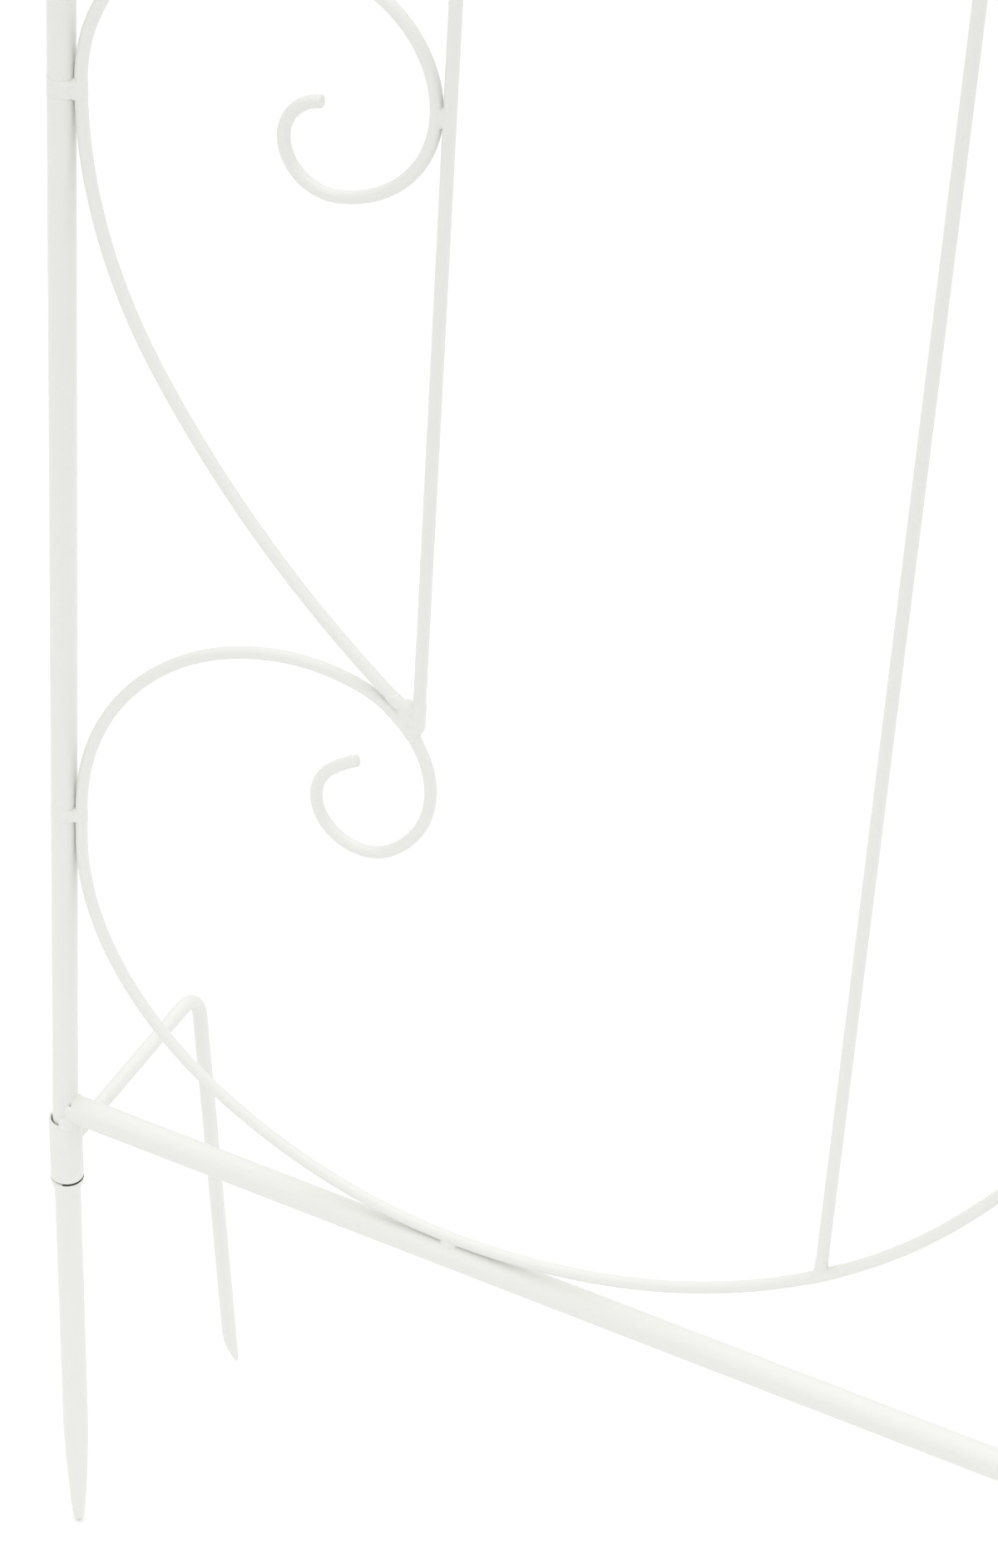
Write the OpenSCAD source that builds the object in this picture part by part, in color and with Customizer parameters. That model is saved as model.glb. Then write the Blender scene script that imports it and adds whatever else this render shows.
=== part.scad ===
// Walk-through garden arch in powder-coated steel tube and wire.
// Two scrollwork side panels stand on push-in ground spikes and carry a bolted half-round roof.
// X runs across the walkway, Y through it, Z up; the origin is on the ground, midway between the panels.

/* [Overall] */
// Distance between the side panels, tube centre to tube centre
arch_w = 1200; // [900:10:1600]
// Depth of a side panel, post centre to post centre
panel_d = 600; // [560:5:760]
// Height of a side panel, bottom bar centre to top bar centre
panel_h = 1540; // [1250:10:1900]
// Height of the bottom bar's centre above the spike tips
ground_h = 301.5; // [240:0.5:380]

/* [Tubes] */
// Outside diameter of the posts and roof tubes
post_d = 13; // [11:0.2:20]
// Wall of the posts and roof tubes
post_wall = 1.2; // [0.8:0.1:1.8]
// Diameter of the bottom and top bars
bar_d = 14.8; // [12:0.2:20]
// Wall of the bottom and top bars
bar_wall = 1.2; // [0.8:0.1:2]
// Diameter of the scroll wire and of the upright rods
wire_d = 6; // [5:0.2:8]
// Diameter of the roof crossbars
crossbar_d = 8; // [6:0.5:12]
// How far a post rises above the top bar's centre
post_rise = 40; // [34:1:80]
// Gap that a weld bridges between two pieces
weld_gap = 0.2; // [0.1:0.05:0.4]

/* [Sleeves and spikes] */
// Wall of the sleeve round the foot of a post
sleeve_wall = 1.2; // [0.8:0.1:2]
// Length of the sleeve
sleeve_l = 39.2; // [34:0.2:80]
// Radial gap between a post and its sleeve
sleeve_play = 0.8; // [0.5:0.1:0.9]
// Gap between the bottom bar's underside and the sleeve
sleeve_drop = 0.9; // [0.5:0.1:3]
// How far a post reaches down into its sleeve
post_plug = 13.7; // [8:0.1:16]
// Radial clearance of the spike's plug in the sleeve
spike_fit = 0.05; // [0.02:0.01:0.1]
// Gap under the sleeve, above the spike's collar
collar_gap = 0.4; // [0.3:0.1:1]
// Diameter of the spike's shaft
spike_d = 13.4; // [11:0.2:16]
// Diameter of the flared top of the collar
collar_d = 17.6; // [17:0.2:24]
// Height of the collar
collar_h = 9; // [6:0.5:16]
// Length of the spike's tapered end
spike_taper = 78; // [50:1:110]
// Length of the steeper last stretch of the taper
spike_nose = 29; // [20:1:44]
// Diameter where the steeper stretch starts
spike_nose_d = 9.4; // [8:0.2:10.8]
// Diameter of the rounded spike tip
spike_tip_d = 5.6; // [4:0.2:7.6]
// Lean of the sleeve and its spike towards the middle of the panel
foot_lean = 1.5; // [0:0.1:2]

/* [Outriggers] */
// Diameter of the outrigger rod
outrigger_d = 8; // [6:0.5:12]
// Reach of the outrigger, from the post centre to the leg
outrigger_reach = 139; // [100:1:200]
// Centre-line radius of the outrigger's bend
outrigger_bend = 17; // [12:1:30]
// Lean of the outrigger's leg towards the middle of the panel
outrigger_lean = 5.6; // [0:0.2:10]
// Height of the outrigger's point above the spike tips
outrigger_rise = 10; // [0:1:60]
// Length of the chisel point
chisel_l = 26; // [20:1:40]
// Thickness of the chisel edge
chisel_t = 1.6; // [1:0.2:3]

/* [Scrollwork] */
// Distance of an upright rod from the nearer post, centre to centre
rod_inset = 187.5; // [175:0.5:215]
// Distance from the curl's centre to the rod that it carries
curl_inset = 43.5; // [40:0.5:47]
// Radius of the scroll's outer curl
curl_r = 51.5; // [49:0.5:54]
// Radius of the scroll's inner curl
curl_in_r = 24.2; // [21:0.2:26]
// Straight stretch of the scroll beside its post
scroll_flat = 17; // [8:1:24]
// Flattest radius of the sweep, along the bottom bar
sweep_r = 313; // [290:1:335]
// Radius of the half heart's inner curl
heart_curl_r = 22.6; // [19:0.2:25]

/* [Roof] */
// Straight length of a roof tube's foot
roof_foot = 60; // [50:5:120]
// Straight length of a roof tube at the crown
crown_flat = 50; // [44:2:120]
// Number of crossbars on each half of the roof
crossbars = 4; // [2:1:6]

/* [Fixings] */
// Length of the spigots inside the tube joints
spigot_l = 76; // [60:2:84]
// Radial clearance of a spigot in its tube
spigot_fit = 0.1; // [0.05:0.01:0.15]
// Diameter of the joint bolts
bolt_d = 4; // [3:0.5:5]
// Radial clearance round a joint bolt
bolt_fit = 0.2; // [0.1:0.05:0.4]
// Distance from a tube joint to each of its two bolts
bolt_step = 22; // [16:1:26]

/* [Hidden] */
$fn = 48;
coat = [0.93, 0.94, 0.92];
zinc = [0.72, 0.73, 0.74];
post_r = post_d / 2;
bar_r = bar_d / 2;
wire_r = wire_d / 2;
sleeve_bore_d = post_d + 2 * sleeve_play;
sleeve_d = sleeve_bore_d + 2 * sleeve_wall;
sleeve_top = -bar_r - sleeve_drop;
sleeve_foot = sleeve_top - sleeve_l;
post_foot = sleeve_top - post_plug;
post_top = panel_h + post_rise;
plug_d = sleeve_bore_d - 2 * spike_fit;
plug_gap = 0.6;
plug_top = post_foot - plug_gap;
collar_top = sleeve_foot - collar_gap;
spike_wall = 1.2;
// The spike leans, so it is a little longer than its reach to the ground
spike_foot = sleeve_top - (ground_h + sleeve_top - spike_tip_d / 2) / cos(foot_lean) - spike_tip_d / 2;
outrigger_z = (sleeve_top + sleeve_foot) / 2;
spigot_d = post_d - 2 * post_wall - 2 * spigot_fit;
roof_r = arch_w / 2 - crown_flat;
// The roof's rods lie against the outside of the top bar and reach a little below its centre
roof_rod_off = bar_r + wire_r + weld_gap;
roof_rod_lap = 10;
roof_rod_foot = roof_foot + post_rise + roof_rod_lap;
crossbar_off = roof_rod_off - wire_r - weld_gap - crossbar_d / 2;
crown_gap = 0.5;
joint_band = 0.04;
spring_z = ground_h + post_top + roof_foot;
bolt_head_d = 2 * bolt_d;
bolt_head_h = 0.6 * bolt_d;
nut_d = 2 * bolt_d;
nut_h = 0.8 * bolt_d;

// Every scroll hangs on this line: a wire that just touches its post
touch_x = post_r + wire_r + weld_gap;
// A wire that just touches the bottom bar
touch_z = bar_r + wire_r + weld_gap;
wire_pitch = 2 * wire_r + weld_gap;

// A run of tangent arcs is a list of [radius, degrees], all turning left.
// Its heading after n arcs, and how far it has gone along and across its first heading
function turned(s, n) = n == 0 ? 0 : turned(s, n - 1) + s[n - 1][1];
function run_along(s, n) = n == 0 ? 0
    : run_along(s, n - 1) + s[n - 1][0] * (sin(turned(s, n)) - sin(turned(s, n - 1)));
function run_across(s, n) = n == 0 ? 0
    : run_across(s, n - 1) + s[n - 1][0] * (cos(turned(s, n - 1)) - cos(turned(s, n)));
function along(s) = run_along(s, len(s));
function across(s) = run_across(s, len(s));

// Lower scroll below the post weld: round to the bar, then up to the far post
fall = [[147, 29.3], [169, 26.5], [246, 34.2]];
rise_low = [[sweep_r, 27], [325, 25.6]];
scroll_weld_z = touch_z + along(fall) + scroll_flat / 2;
bar_weld_x = touch_x + across(fall);
// Across the bar the heading is square to the first one, so the two sums change places
rise_x = bar_weld_x + along(rise_low);
rise_turn = turned(rise_low, 2);
rise_end_r = (panel_d - touch_x - rise_x) / (1 - sin(rise_turn));
rise = concat(rise_low, [[rise_end_r, 90 - rise_turn]]);
far_weld_z = touch_z + across(rise);

// Lower scroll above the post weld: over the top and into the curl
crest = [[124, 29.4], [97, 23.2]];
crest_turn = 50.2;
function crest_run(r) = concat([[r, crest_turn]], crest);
crest_r = (rod_inset - curl_inset - touch_x - across(crest_run(0))
    - curl_r * cos(crest_turn + turned(crest, 2))) / (1 - cos(crest_turn));
crest_arcs = crest_run(crest_r);
curl = [[curl_r, 129.7], [curl_in_r, 172.5], [70, 14]];
curl_x = rod_inset - curl_inset;
curl_z = scroll_weld_z + scroll_flat / 2 + along(crest_arcs) - curl_r * sin(turned(crest_arcs, 3));

// The rod's round end sits on the outside of the curl
rod_foot = curl_z + sqrt(pow(curl_r + wire_pitch, 2) - pow(curl_inset, 2));

// Half heart: its tail ends beside the rod, on the curl
tail_at = 54;
tail_x = curl_x + (curl_r + wire_pitch) * cos(tail_at);
tail_z = curl_z + (curl_r + wire_pitch) * sin(tail_at);
tail_turn = 31.7;
tail_flat = [511, 21.6];
tail_r = (tail_x - touch_x - tail_flat[0] * (cos(tail_turn) - cos(tail_turn + tail_flat[1])))
    / (1 - cos(tail_turn));
tail = [[tail_r, tail_turn], tail_flat];
heart_weld_z = tail_z + along(tail);
lobe_start = [93, 21.6];
lobe_end = [55.4, 143];
lobe_turn = 94.6;
lobe_left = 180 - lobe_start[1] - lobe_turn;
lobe_r = (rod_inset - wire_pitch - touch_x - lobe_start[0] * (1 - cos(lobe_start[1]))
    - lobe_end[0] * (1 - cos(lobe_left))) / (cos(lobe_start[1]) + cos(lobe_left));
lobe = [lobe_start, [lobe_r, lobe_turn], lobe_end, [heart_curl_r, 179]];
heart_rod_z = heart_weld_z + along([lobe_start, [lobe_r, lobe_turn], [lobe_end[0], lobe_left]]);

// Height of the sweep's centre line over a point between the bar weld and the far post
function arc_z(s, x, x0, z0, t) = z0 + s[0][0] * (cos(t) - cos(asin(min(1, sin(t) + (x - x0) / s[0][0]))));
function sweep_z(s, x, x0, z0, t) =
    let (x1 = x0 + s[0][0] * (sin(t + s[0][1]) - sin(t)), z1 = z0 + s[0][0] * (cos(t) - cos(t + s[0][1])))
    x <= x1 || len(s) == 1 ? arc_z(s, x, x0, z0, t)
    : sweep_z([for (i = [1 : len(s) - 1]) s[i]], x, x1, z1, t + s[0][1]);
far_rod_x = panel_d - rod_inset;
far_rod_z = sweep_z(rise, far_rod_x, bar_weld_x, touch_z, 0);
far_rod_slope = atan((sweep_z(rise, far_rod_x + 1, bar_weld_x, touch_z, 0) - far_rod_z));

// --- Placing -------------------------------------------------------------------------------------

// A side panel is drawn in its own frame: X from one post to the other, Y out of the walkway,
// Z up from the bottom bar. The left side is the right side turned half round.
module right_side() {
    children();
}

module left_side() {
    rotate([0, 0, 180]) children();
}

module panel() {
    translate([arch_w / 2, panel_d / 2, ground_h]) rotate([0, 0, -90]) children();
}

// Puts a piece at the far post, facing the other way
module far_end() {
    translate([panel_d, 0, 0]) mirror([1, 0, 0]) children();
}

// Leans the pieces at the foot of a post about the centre of the sleeve's rim
module leaned() {
    translate([0, 0, sleeve_top]) rotate([0, -foot_lean, 0]) translate([0, 0, -sleeve_top]) children();
}

// Turns a piece of the panel's lower half into the matching piece of its upper half
module upper_half() {
    translate([panel_d / 2, 0, panel_h / 2]) rotate([0, 180, 0])
        translate([-panel_d / 2, 0, -panel_h / 2]) children();
}

// --- Wire and tube -------------------------------------------------------------------------------

// Round bar through tangent arcs that all turn left, starting along X. A band a hair wider than
// the bar covers each joint between two arcs, so that they become one solid.
module arc_bar(steps, d) {
    for (i = [0 : len(steps) - 1])
        translate([run_along(steps, i), run_across(steps, i), 0]) rotate([0, 0, turned(steps, i)]) {
            translate([0, steps[i][0], 0]) rotate([0, 0, -90])
                rotate_extrude(angle = steps[i][1]) translate([steps[i][0], 0]) circle(d = d);
            rotate([0, 90, 0]) cylinder(d = d + joint_band, h = joint_band * 10, center = true);
        }
}

// The same bar standing in the panel's plane, leaving a point straight down or straight up
module bar_down(steps) {
    rotate([90, 0, 0]) rotate([0, 0, -90]) arc_bar(steps, wire_d);
}

module bar_up(steps) {
    mirror([0, 0, 1]) bar_down(steps);
}

module tube(d, wall, l) {
    difference() {
        cylinder(d = d, h = l);
        translate([0, 0, -1]) cylinder(d = d - 2 * wall, h = l + 2);
    }
}

// --- Side panel ----------------------------------------------------------------------------------

module post() {
    color(coat) difference() {
        translate([0, 0, post_foot]) tube(post_d, post_wall, post_top - post_foot);
        translate([0, 0, post_top - bolt_step]) bolt_hole();
    }
}

module bolt_hole() {
    rotate([90, 0, 0]) cylinder(d = bolt_d + 2 * bolt_fit, h = post_d + 2, center = true);
}

// A bar's ends are coped to the posts, and stop short of a post's centre line
module bar() {
    end_x = post_r / 2;
    color(coat) difference() {
        translate([end_x, 0, 0]) rotate([0, 90, 0]) tube(bar_d, bar_wall, panel_d - 2 * end_x);
        for (x = [0, panel_d])
            translate([x, 0, 0]) cylinder(d = post_d + 2 * weld_gap, h = 2 * bar_d, center = true);
    }
}

module bottom_bar() {
    bar();
}

module top_bar() {
    translate([0, 0, panel_h]) bar();
}

// Upright rod: round end on the lower curl, coped end on the upper sweep
module rod() {
    top = panel_h - far_rod_z;
    color(coat) difference() {
        translate([rod_inset, 0, rod_foot]) {
            sphere(d = wire_d);
            cylinder(d = wire_d, h = top - rod_foot);
        }
        translate([rod_inset, 0, top]) rotate([0, 90 - far_rod_slope, 0])
            cylinder(d = wire_d + 2 * weld_gap, h = 4 * wire_d, center = true);
        translate([rod_inset, 0, top + wire_d]) cube(2 * wire_d, center = true);
    }
}

// One wire from the curl, past the post and the bottom bar, to the far post
module scroll() {
    color(coat) translate([touch_x, 0, scroll_weld_z]) {
        cylinder(d = wire_d, h = scroll_flat, center = true);
        translate([0, 0, -scroll_flat / 2]) bar_down(concat(fall, rise));
        translate([0, 0, scroll_flat / 2]) bar_up(concat(crest_arcs, curl));
    }
}

module half_heart() {
    color(coat) translate([touch_x, 0, heart_weld_z]) {
        bar_down(tail);
        bar_up(lobe);
    }
}

module sleeve() {
    color(coat) leaned() translate([0, 0, sleeve_foot]) tube(sleeve_d, sleeve_wall, sleeve_l);
}

// Hollow push-in spike: plug, flared collar, shaft and tapered end
module spike() {
    shaft_top = collar_top - collar_h;
    taper_top = spike_foot + spike_taper;
    nose_top = spike_foot + spike_nose;
    tip_z = spike_foot + spike_tip_d / 2;
    color(coat) leaned() difference() {
        union() {
            translate([0, 0, collar_top]) cylinder(d = plug_d, h = plug_top - collar_top);
            translate([0, 0, shaft_top]) cylinder(d1 = spike_d, d2 = collar_d, h = collar_h);
            translate([0, 0, taper_top]) cylinder(d = spike_d, h = shaft_top - taper_top);
            translate([0, 0, nose_top]) cylinder(d1 = spike_nose_d, d2 = spike_d, h = taper_top - nose_top);
            translate([0, 0, tip_z]) cylinder(d1 = spike_tip_d, d2 = spike_nose_d, h = nose_top - tip_z);
            translate([0, 0, tip_z]) sphere(d = spike_tip_d);
        }
        translate([0, 0, taper_top])
            cylinder(d = spike_d - 2 * spike_wall, h = plug_top - taper_top + 1);
    }
}

// Bent rod: out from the sleeve, over the bend and down to a chisel point
module outrigger() {
    leg_l = (ground_h - outrigger_rise + outrigger_z) / cos(outrigger_lean) - outrigger_bend;
    color(coat) difference() {
        translate([0, 0, outrigger_z]) rotate([0, -outrigger_lean, 0]) {
            rotate([-90, 0, 0]) cylinder(d = outrigger_d, h = outrigger_reach - outrigger_bend);
            translate([0, outrigger_reach - outrigger_bend, 0]) rotate([90, 0, 90]) mirror([0, 1, 0])
                arc_bar([[outrigger_bend, 90]], outrigger_d);
            translate([0, outrigger_reach, -outrigger_bend]) mirror([0, 0, 1]) leg(leg_l);
        }
        leaned() translate([0, 0, sleeve_foot]) cylinder(d = sleeve_d + 2 * weld_gap, h = sleeve_l);
    }
}

// The leg grows along Z. It is ground to an edge from one side, and less from the two next to it.
module leg(l) {
    difference() {
        cylinder(d = outrigger_d, h = l);
        ground_flat(l, chisel_l, outrigger_d - chisel_t);
        for (side = [-90, 90])
            rotate([0, 0, side]) ground_flat(l, chisel_l / 2, outrigger_d / 2 - chisel_t / 2);
    }
}

// Takes depth off the -X side of a leg's end, over a length
module ground_flat(l, length, depth) {
    translate([-outrigger_d / 2, 0, l - length]) rotate([0, atan(depth / length), 0])
        translate([-2 * outrigger_d, -outrigger_d, -length])
            cube([2 * outrigger_d, 2 * outrigger_d, 3 * length]);
}

// --- Welds ---------------------------------------------------------------------------------------

module bead(x, z, d) {
    translate([x, 0, z]) sphere(d = d);
}

// A short run of weld up a post or along a bar
module weld_run(d, l) {
    translate([0, 0, -l / 2]) {
        sphere(d = d);
        cylinder(d = d, h = l);
        translate([0, 0, l]) sphere(d = d);
    }
}

// The welds of one half of the panel; the other half has the same, turned round
module half_welds() {
    contact_x = post_r + weld_gap / 2;
    for (z = [scroll_weld_z, heart_weld_z]) translate([contact_x, 0, z]) weld_run(0.8 * wire_d, wire_d);
    translate([panel_d - contact_x, 0, far_weld_z]) weld_run(0.8 * wire_d, wire_d);
    translate([bar_weld_x, 0, bar_r + weld_gap / 2]) rotate([0, 90, 0]) weld_run(0.8 * wire_d, 3 * wire_d);
    translate([rod_inset - wire_pitch / 2, 0, heart_rod_z]) weld_run(0.7 * wire_d, wire_d);
    tail_weld();
    bead(far_rod_x, far_rod_z + wire_r, 1.5 * wire_d);
}

// Runs from the end of the half heart's tail to the foot of the rod, along the curl
module tail_weld() {
    run_x = rod_inset - tail_x;
    run_z = rod_foot - tail_z;
    translate([tail_x + run_x / 2, 0, tail_z + run_z / 2]) rotate([0, atan2(run_x, run_z), 0])
        weld_run(0.9 * wire_d, norm([run_x, run_z]));
}

// Bead between the bar, the post and the sleeve's rim, on both faces of the panel
module corner_weld() {
    for (y = [-1, 1])
        translate([post_r / 2, y * (post_r + sleeve_play / 2), sleeve_top + wire_r / 2]) sphere(d = wire_d);
}

module panel_welds() {
    rim_r = 0.3 * outrigger_d;
    bar_bead_r = post_r - post_wall / 2 + wire_r;
    color(coat) {
        half_welds();
        upper_half() half_welds();
        corner_weld();
        far_end() corner_weld();
        for (x = [0, panel_d], y = [-1, 1])
            translate([x, 0, panel_h]) rotate([0, 0, y * (x == 0 ? 30 : 150)]) translate([bar_bead_r, 0, 0])
                sphere(d = wire_d);
        for (x = [0, panel_d])
            translate([x, sleeve_d / 2 + rim_r - sleeve_wall / 2, outrigger_z + outrigger_d / 2])
                sphere(r = rim_r);
    }
}

// --- Roof ----------------------------------------------------------------------------------------

// Half a roof line in the plane Y = 0, from the panel's top over to the crown
module roof_line(off, foot, d) {
    translate([arch_w / 2 + off, 0, spring_z - foot]) cylinder(d = d, h = foot);
    translate([arch_w / 2 - roof_r, 0, spring_z]) {
        rotate([90, 0, 0]) rotate_extrude(angle = 90) translate([roof_r + off, 0]) circle(d = d);
        translate([0, 0, roof_r + off]) rotate([0, -90, 0])
            cylinder(d = d, h = crown_flat - crown_gap / 2);
    }
}

module roof_tube() {
    color(coat) difference() {
        roof_line(0, roof_foot, post_d);
        bore_d = post_d - 2 * post_wall;
        roof_line(0, roof_foot, bore_d);
        translate([arch_w / 2, 0, spring_z - roof_foot - 1]) cylinder(d = bore_d, h = 2);
        translate([-1, 0, spring_z + roof_r]) rotate([0, 90, 0]) cylinder(d = bore_d, h = 2);
        translate([arch_w / 2, 0, spring_z - roof_foot + bolt_step]) rotate([0, 0, 90]) bolt_hole();
        translate([bolt_step, 0, spring_z + roof_r]) rotate([90, 0, 0]) bolt_hole();
    }
}

// Wire that carries the panel's rods on over the roof, outside the crossbars
module roof_rod() {
    color(coat) roof_line(roof_rod_off, roof_rod_foot, wire_d);
}

function crossbar_at(i) = 90 * (i + 0.6) / crossbars;

module at_crossbar(i, off) {
    translate([arch_w / 2 - roof_r, 0, spring_z]) rotate([0, -crossbar_at(i), 0])
        translate([roof_r + off, 0, 0]) children();
}

module roof_crossbars() {
    l = panel_d - post_d - 2 * weld_gap;
    color(coat) for (i = [0 : crossbars - 1])
        at_crossbar(i, crossbar_off) rotate([90, 0, 0]) cylinder(d = crossbar_d, h = l, center = true);
}

module roof_welds() {
    color(coat) {
        for (i = [0 : crossbars - 1], y = [-1, 1]) {
            at_crossbar(i, crossbar_off) translate([0, y * (panel_d / 2 - post_r), 0])
                sphere(d = 0.8 * crossbar_d);
            at_crossbar(i, roof_rod_off - wire_r)
                translate([0, y * (panel_d / 2 - rod_inset), 0]) sphere(d = 0.8 * wire_d);
        }
        for (y = [-1, 1])
            translate([arch_w / 2 + bar_r, y * (panel_d / 2 - rod_inset), ground_h + panel_h])
                sphere(d = 0.8 * wire_d);
    }
}

// --- Fixings -------------------------------------------------------------------------------------

// Draws its children at each of the four post joints, Z up the post and X out of the walkway
module at_post_joints() {
    for (turn = [0, 180], y = [-1, 1])
        rotate([0, 0, turn]) translate([arch_w / 2, y * panel_d / 2, ground_h + post_top]) children();
}

// Draws its children at the two crown joints, Z along the tube and X up
module at_crown_joints() {
    for (turn = [0, 180])
        rotate([0, 0, turn]) translate([0, panel_d / 2, spring_z + roof_r]) rotate([0, -90, 0]) children();
}

module spigot() {
    difference() {
        cylinder(d = spigot_d, h = spigot_l, center = true);
        for (z = [-1, 1])
            translate([0, 0, z * bolt_step]) rotate([0, 90, 0])
                cylinder(d = bolt_d + 2 * bolt_fit, h = post_d, center = true);
    }
}

module joint_spigots() {
    color(zinc) {
        at_post_joints() spigot();
        at_crown_joints() spigot();
    }
}

// Pan head outside the tube, shank right through to the nut
module bolt() {
    translate([post_r, 0, 0]) rotate([0, 90, 0]) cylinder(d = bolt_head_d, h = bolt_head_h);
    translate([-post_r - nut_h, 0, 0]) rotate([0, 90, 0]) cylinder(d = bolt_d, h = post_d + nut_h);
}

module nut() {
    translate([-post_r - nut_h, 0, 0]) rotate([0, 90, 0]) difference() {
        cylinder(d = nut_d, h = nut_h, $fn = 6);
        translate([0, 0, -1]) cylinder(d = bolt_d + 0.1, h = nut_h + 2);
    }
}

module joint_bolts() {
    color(zinc) for (z = [-1, 1]) {
        at_post_joints() translate([0, 0, z * bolt_step]) bolt();
        at_crown_joints() translate([0, 0, z * bolt_step]) bolt();
    }
}

module joint_nuts() {
    color(zinc) for (z = [-1, 1]) {
        at_post_joints() translate([0, 0, z * bolt_step]) nut();
        at_crown_joints() translate([0, 0, z * bolt_step]) nut();
    }
}

right_side() panel() post();  // right_rear_post
right_side() panel() far_end() post();  // right_front_post
right_side() panel() bottom_bar();  // right_bottom_bar
right_side() panel() top_bar();  // right_top_bar
right_side() panel() rod();  // right_rear_rod
right_side() panel() upper_half() rod();  // right_front_rod
right_side() panel() scroll();  // right_lower_scroll
right_side() panel() upper_half() scroll();  // right_upper_scroll
right_side() panel() half_heart();  // right_lower_heart
right_side() panel() upper_half() half_heart();  // right_upper_heart
right_side() panel() sleeve();  // right_rear_sleeve
right_side() panel() far_end() sleeve();  // right_front_sleeve
right_side() panel() spike();  // right_rear_spike
right_side() panel() far_end() spike();  // right_front_spike
right_side() panel() outrigger();  // right_rear_outrigger
right_side() panel() far_end() outrigger();  // right_front_outrigger
right_side() panel() panel_welds();  // right_panel_welds
right_side() translate([0, -panel_d / 2, 0]) roof_tube();  // right_roof_front_tube
right_side() translate([0, panel_d / 2, 0]) roof_tube();  // right_roof_rear_tube
right_side() translate([0, -(panel_d / 2 - rod_inset), 0]) roof_rod();  // right_roof_front_rod
right_side() translate([0, (panel_d / 2 - rod_inset), 0]) roof_rod();  // right_roof_rear_rod
right_side() roof_crossbars();  // right_roof_crossbars
right_side() roof_welds();  // right_roof_welds
left_side() panel() far_end() post();  // left_rear_post
left_side() panel() post();  // left_front_post
left_side() panel() bottom_bar();  // left_bottom_bar
left_side() panel() top_bar();  // left_top_bar
left_side() panel() upper_half() rod();  // left_rear_rod
left_side() panel() rod();  // left_front_rod
left_side() panel() scroll();  // left_lower_scroll
left_side() panel() upper_half() scroll();  // left_upper_scroll
left_side() panel() half_heart();  // left_lower_heart
left_side() panel() upper_half() half_heart();  // left_upper_heart
left_side() panel() far_end() sleeve();  // left_rear_sleeve
left_side() panel() sleeve();  // left_front_sleeve
left_side() panel() far_end() spike();  // left_rear_spike
left_side() panel() spike();  // left_front_spike
left_side() panel() far_end() outrigger();  // left_rear_outrigger
left_side() panel() outrigger();  // left_front_outrigger
left_side() panel() panel_welds();  // left_panel_welds
left_side() translate([0, panel_d / 2, 0]) roof_tube();  // left_roof_front_tube
left_side() translate([0, -panel_d / 2, 0]) roof_tube();  // left_roof_rear_tube
left_side() translate([0, (panel_d / 2 - rod_inset), 0]) roof_rod();  // left_roof_front_rod
left_side() translate([0, -(panel_d / 2 - rod_inset), 0]) roof_rod();  // left_roof_rear_rod
left_side() roof_crossbars();  // left_roof_crossbars
left_side() roof_welds();  // left_roof_welds
joint_spigots();
joint_bolts();
joint_nuts();
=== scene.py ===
import math

import bmesh
import bpy
from mathutils import Matrix, Vector


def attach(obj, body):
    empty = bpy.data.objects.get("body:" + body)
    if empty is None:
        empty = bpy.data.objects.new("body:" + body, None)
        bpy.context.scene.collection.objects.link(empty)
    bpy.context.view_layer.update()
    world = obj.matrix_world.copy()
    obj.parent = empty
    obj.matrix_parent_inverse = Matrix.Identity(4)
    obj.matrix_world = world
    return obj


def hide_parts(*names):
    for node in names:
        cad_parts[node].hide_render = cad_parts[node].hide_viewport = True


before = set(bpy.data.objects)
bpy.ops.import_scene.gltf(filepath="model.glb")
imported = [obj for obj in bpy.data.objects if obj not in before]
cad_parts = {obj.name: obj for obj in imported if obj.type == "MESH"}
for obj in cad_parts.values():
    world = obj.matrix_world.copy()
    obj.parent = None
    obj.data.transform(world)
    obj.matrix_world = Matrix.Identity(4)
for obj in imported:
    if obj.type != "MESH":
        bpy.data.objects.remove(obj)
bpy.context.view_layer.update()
print("frame loaded with", len(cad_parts), "nodes")

mm = 0.001

# Camera, floor and light

# A person's eye height, looking down at the foot of the right panel
camera = {
    "place": (-1.0567, -0.6722, 2.0587),
    "turn": (51.2323, -2.9004, -63.5319),  # degrees
    "lens": 116.84,
    "film": 36,
}

camData = bpy.data.cameras.new("camera")
camData.lens = camera["lens"]
camData.sensor_width = camera["film"]
camData.clip_end = 300
camObject = bpy.data.objects.new("camera", camData)
camObject.location = camera["place"]
camObject.rotation_euler = [math.radians(a) for a in camera["turn"]]
bpy.context.collection.objects.link(camObject)
bpy.context.scene.camera = camObject
bpy.context.scene.view_settings.view_transform = "Standard"

studio = {
    "floorRadius": 60,  # metres
    "floorColour": "f6f6f6",
    "floorPaintedShade": "c0c0c0",  # painted shade, where the painted pool of light has faded
    "paintedPoolRadius": (1, 7),  # metres from the arch: painted full light, and painted shade
    "above": 1.34,  # brightness straight up
    "level": 0.85,  # brightness at eye level
}
sharpAngle = math.radians(38)  # edges that turn more than this are drawn sharp


def linearColour(sRgbHex):
    channels = [int(sRgbHex[i:i + 2], 16) / 255 for i in (0, 2, 4)]
    return [c / 12.92 if c <= 0.04045 else ((c + 0.055) / 1.055) ** 2.4 for c in channels] + [1]


def addNode(tree, kind, settings=None, inputs=None):
    node = tree.nodes.new(kind)
    for name, value in (settings or {}).items():
        setattr(node, name, value)
    for name, value in (inputs or {}).items():
        if isinstance(value, bpy.types.NodeSocket):
            tree.links.new(value, node.inputs[name])
        else:
            node.inputs[name].default_value = value
    return node


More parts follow.
